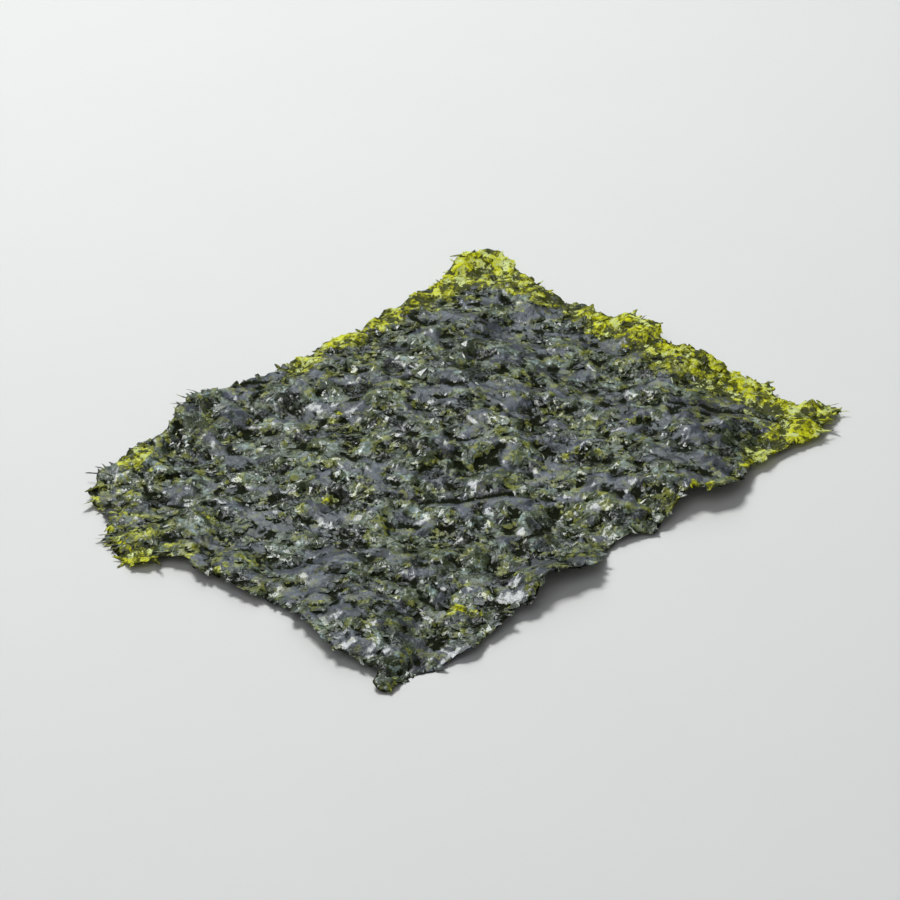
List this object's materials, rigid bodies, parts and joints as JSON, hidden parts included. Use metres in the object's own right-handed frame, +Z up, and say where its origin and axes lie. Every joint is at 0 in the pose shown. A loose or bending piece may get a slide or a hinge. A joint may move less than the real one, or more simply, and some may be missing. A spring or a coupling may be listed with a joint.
{
  "type": "nori sheet",
  "caption": "Hand-sized leaf of roasted, oiled seaweed: thin, wavy and crinkled, with torn, ragged sides, lying flat.",
  "frame": {"origin": "middle of the leaf in plan, on the surface that its lowest waves rest on", "axes": "+X along the long side, +Y along the short side, +Z up, out of the face that shows"},
  "size_m": [0.1028, 0.0772, 0.0043],
  "materials": {
    "roasted_seaweed": "near-black green, crinkled and lightly oiled, with a slate sheen and yellow-green torn rims"
  },
  "bodies": {
    "root": {"nori_sheet": "roasted_seaweed"}
  },
  "joints": []
}
